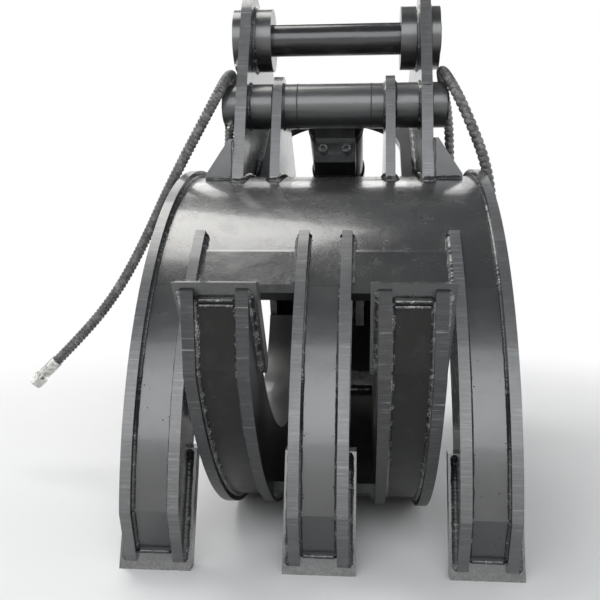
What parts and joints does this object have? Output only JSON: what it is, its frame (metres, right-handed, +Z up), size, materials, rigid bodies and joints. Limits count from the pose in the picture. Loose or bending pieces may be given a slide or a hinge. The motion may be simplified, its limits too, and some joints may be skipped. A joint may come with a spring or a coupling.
{
  "type": "excavator log grapple",
  "caption": "Hydraulic grapple with a fixed jaw of curved box tines, a hinged jaw whose tines pass between them, a cylinder under the ears and two hoses.",
  "frame": {"origin": "on the ground, below the middle of the grapple without its hoses", "axes": "+X to the viewer's right along the pins, +Y from the front tines to the ears' rear, +Z up"},
  "size_m": [0.9776, 1.1782, 0.9764],
  "materials": {
    "black_paint": "gloss black over flame-cut plate and weld",
    "hose_rubber": "black, in a spiral plastic guard",
    "plated_steel": "zinc plated",
    "rod_chrome": "hard chrome"
  },
  "bodies": {
    "frame": {"anchor_pin": "black_paint", "anchor_sleeves_left": "black_paint", "anchor_sleeves_right": "black_paint", "arch_plate": "black_paint", "ear_left": "black_paint", "ear_right": "black_paint", "front_grip_plate_centre": "black_paint", "front_grip_plate_left": "black_paint", "front_grip_plate_right": "black_paint", "front_lip_bars": "black_paint", "front_shell": "black_paint", "front_side_plates_centre": "black_paint", "front_side_plates_left": "black_paint", "front_side_plates_right": "black_paint", "front_tip_plate_centre": "black_paint", "front_tip_plate_left": "black_paint", "front_tip_plate_right": "black_paint", "front_web_centre": "black_paint", "front_web_left": "black_paint", "front_web_right": "black_paint", "grease_nipples": "plated_steel", "gusset_left": "black_paint", "gusset_right": "black_paint", "hose_bulkheads": "black_paint", "hose_end_left": "plated_steel", "hose_end_right": "plated_steel", "hose_left": "hose_rubber", "hose_right": "hose_rubber", "inner_plate_left": "black_paint", "inner_plate_right": "black_paint", "jaw_boss_left": "black_paint", "jaw_boss_right": "black_paint", "jaw_pin_left": "black_paint", "jaw_pin_right": "black_paint", "jumper_tube_left": "hose_rubber", "jumper_tube_right": "hose_rubber", "link_boss_left": "black_paint", "link_boss_right": "black_paint", "stick_bosses_left": "black_paint", "stick_bosses_right": "black_paint", "stick_pin": "black_paint"},
    "rear_jaw": {"rear_grip_plate_left": "black_paint", "rear_grip_plate_right": "black_paint", "rear_inner_side_plate_left": "black_paint", "rear_inner_side_plate_right": "black_paint", "rear_outer_side_plate_left": "black_paint", "rear_outer_side_plate_right": "black_paint", "rear_shell": "black_paint", "rear_tip_plate_left": "black_paint", "rear_tip_plate_right": "black_paint", "rear_web_left": "black_paint", "rear_web_right": "black_paint", "rod_lugs": "black_paint", "rod_pin": "black_paint", "stiffener_bar": "black_paint"},
    "cylinder_barrel": {"cylinder_barrel": "black_paint", "cylinder_gland": "black_paint", "valve_block": "black_paint", "valve_bolts": "black_paint"},
    "cylinder_rod": {"piston_rod": "rod_chrome"}
  },
  "joints": [
    {"name": "jaw_hinge", "type": "hinge", "parent": "frame", "child": "rear_jaw", "pos_m": [0, 0.3468, 0.5085], "axis": [1, 0, 0], "range_deg": [0, 60]},
    {"name": "barrel_swing", "type": "hinge", "parent": "frame", "child": "cylinder_barrel", "pos_m": [0, 0.0657, 0.7349], "axis": [1, 0, 0], "range_deg": [0, 13.08]},
    {"name": "rod_slide", "type": "slide", "parent": "cylinder_barrel", "child": "cylinder_rod", "axis": [0, 0.9108, -0.4128], "range_m": [-0.1322, 0]}
  ],
  "couplings": [
    {"joint": "barrel_swing", "follows": "jaw_hinge", "ratio": 0.21472},
    {"joint": "rod_slide", "follows": "jaw_hinge", "m_per_rad": -0.12529}
  ]
}
